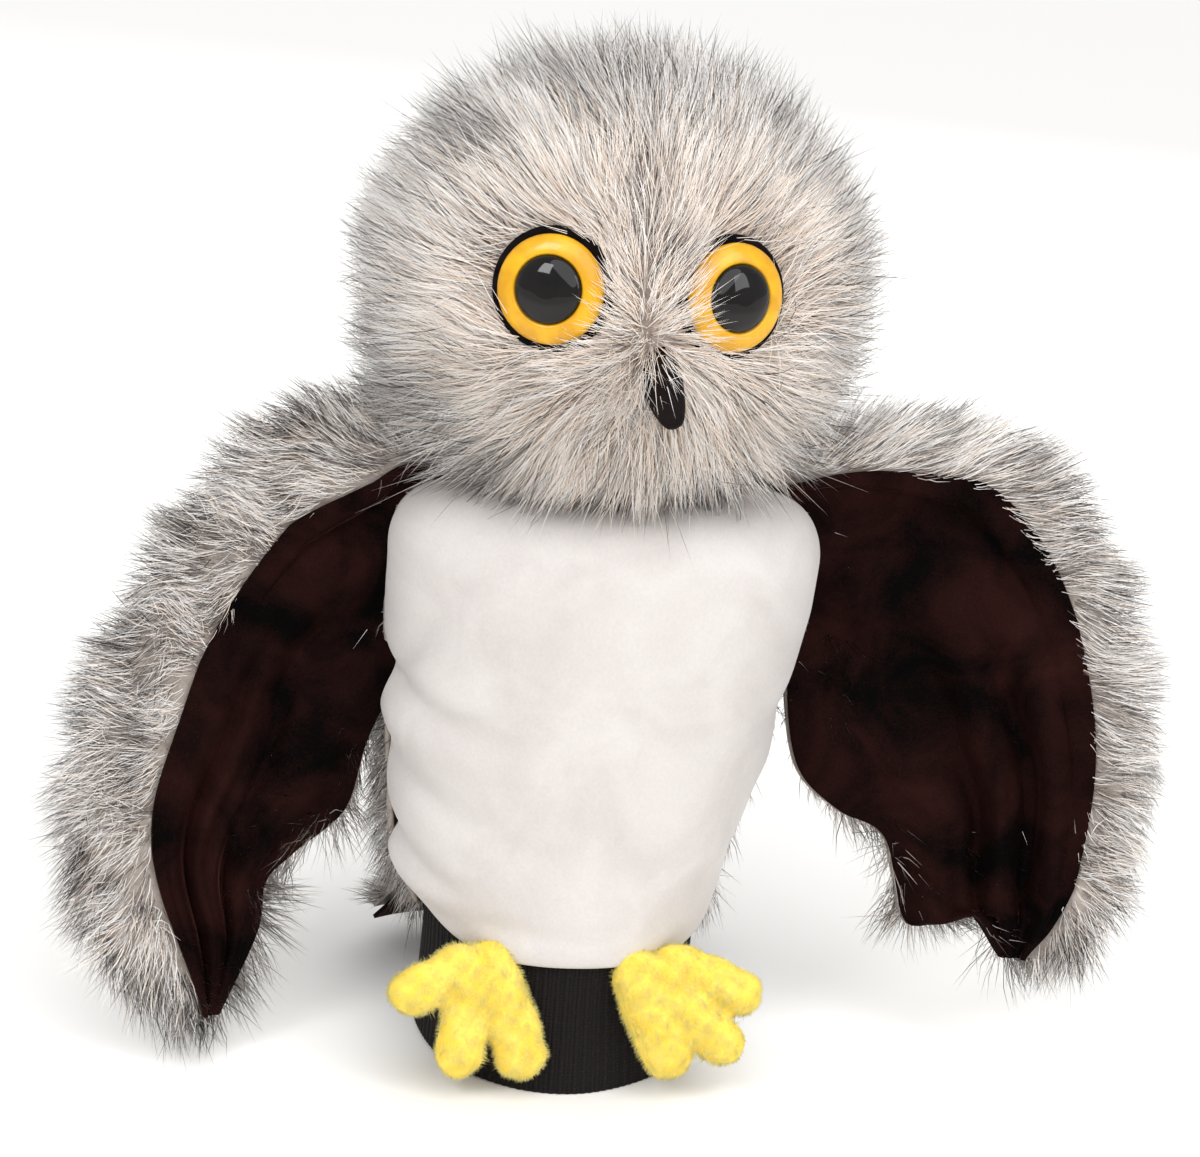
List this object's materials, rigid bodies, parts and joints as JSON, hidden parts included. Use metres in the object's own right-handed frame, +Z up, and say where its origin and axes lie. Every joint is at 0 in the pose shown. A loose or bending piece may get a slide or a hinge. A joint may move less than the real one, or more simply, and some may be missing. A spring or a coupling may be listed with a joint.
{
  "type": "owl hand puppet",
  "caption": "Plush owl glove puppet with a turning, nodding head, flapping fur wings, white belly, knitted cuff, hanging feet and tail.",
  "frame": {"origin": "on the surface that the cuff stands on, under the middle of the whole puppet", "axes": "+Z up through the head; the owl faces -Y; its left wing is towards +X"},
  "size_m": [0.2927, 0.1396, 0.281],
  "materials": {
    "body_fur": "grey long-pile faux fur with dark guard hairs",
    "face_fur": "warm pale long-pile faux fur with dark guard hairs",
    "white_velour": "white short-pile velour",
    "brown_velour": "very dark brown velour",
    "black_velour": "black short-pile velour",
    "yellow_plush": "bright yellow short plush",
    "black_knit": "black fine rib knit, folded double",
    "lining_cloth": "black woven polyester lining",
    "fibre_fill": "white polyester fibre",
    "yellow_eye": "moulded yellow plastic, glossy",
    "black_eye": "moulded black plastic, polished",
    "washer_plastic": "milky moulded plastic"
  },
  "bodies": {
    "torso": {"belly_panel": "white_velour", "back_panel": "body_fur", "body_lining": "lining_cloth", "cuff": "black_knit"},
    "neck": {"neck_sleeve": "lining_cloth"},
    "head": {"head_base": "lining_cloth", "head_finger_pocket": "lining_cloth", "head_stuffing": "fibre_fill", "beak_cover": "black_velour", "beak_stuffing": "fibre_fill", "face_panel_left": "face_fur", "head_back_left": "body_fur", "eye_backing_left": "black_eye", "eye_iris_left": "yellow_eye", "eye_pupil_left": "black_eye", "eye_washer_left": "washer_plastic", "face_panel_right": "face_fur", "head_back_right": "body_fur", "eye_backing_right": "black_eye", "eye_iris_right": "yellow_eye", "eye_pupil_right": "black_eye", "eye_washer_right": "washer_plastic"},
    "tail": {"tail_fur": "body_fur", "tail_lining": "brown_velour"},
    "wing_left": {"wing_left_fur": "body_fur", "wing_left_lining": "brown_velour"},
    "wing_left_tip": {"wing_left_tip_fur": "body_fur", "wing_left_tip_lining": "brown_velour"},
    "foot_left": {"foot_left_upper": "yellow_plush", "foot_left_sole": "yellow_plush", "foot_left_stuffing": "fibre_fill"},
    "wing_right": {"wing_right_fur": "body_fur", "wing_right_lining": "brown_velour"},
    "wing_right_tip": {"wing_right_tip_fur": "body_fur", "wing_right_tip_lining": "brown_velour"},
    "foot_right": {"foot_right_upper": "yellow_plush", "foot_right_sole": "yellow_plush", "foot_right_stuffing": "fibre_fill"}
  },
  "joints": [
    {"name": "head_turn", "type": "hinge", "parent": "torso", "child": "neck", "pos_m": [-0.0044, -0.0024, 0.165], "axis": [0, 0, 1], "range_deg": [-40, 40]},
    {"name": "head_nod", "type": "hinge", "parent": "neck", "child": "head", "pos_m": [-0.0044, -0.0024, 0.18], "axis": [1, 0, 0], "range_deg": [-15, 18]},
    {"name": "wing_left_flap", "type": "hinge", "parent": "torso", "child": "wing_left", "pos_m": [0.0556, -0.0024, 0.158], "axis": [0, -1, 0], "range_deg": [-15, 35]},
    {"name": "wing_right_flap", "type": "hinge", "parent": "torso", "child": "wing_right", "pos_m": [-0.0644, -0.0024, 0.158], "axis": [0, 1, 0], "range_deg": [-10, 35]},
    {"name": "wing_left_fold", "type": "hinge", "parent": "wing_left", "child": "wing_left_tip", "pos_m": [0.0808, -0.00576, 0.09464], "axis": [-0.9401, 0.2107, -0.2681], "range_deg": [-15, 45]},
    {"name": "wing_right_fold", "type": "hinge", "parent": "wing_right", "child": "wing_right_tip", "pos_m": [-0.07938, -0.00576, 0.09148], "axis": [-0.9704, -0.2107, 0.1177], "range_deg": [-15, 45]},
    {"name": "foot_left_swing", "type": "hinge", "parent": "torso", "child": "foot_left", "pos_m": [0.0156, -0.03723, 0.04], "axis": [-0.9563, -0.2924, 0], "range_deg": [0, 40]},
    {"name": "foot_right_swing", "type": "hinge", "parent": "torso", "child": "foot_right", "pos_m": [-0.0294, -0.03623, 0.04], "axis": [-0.9563, 0.2924, 0], "range_deg": [0, 40]},
    {"name": "tail_swing", "type": "hinge", "parent": "torso", "child": "tail", "pos_m": [-0.0044, 0.0426, 0.0365], "axis": [1, 0, 0], "range_deg": [0, 50]}
  ]
}
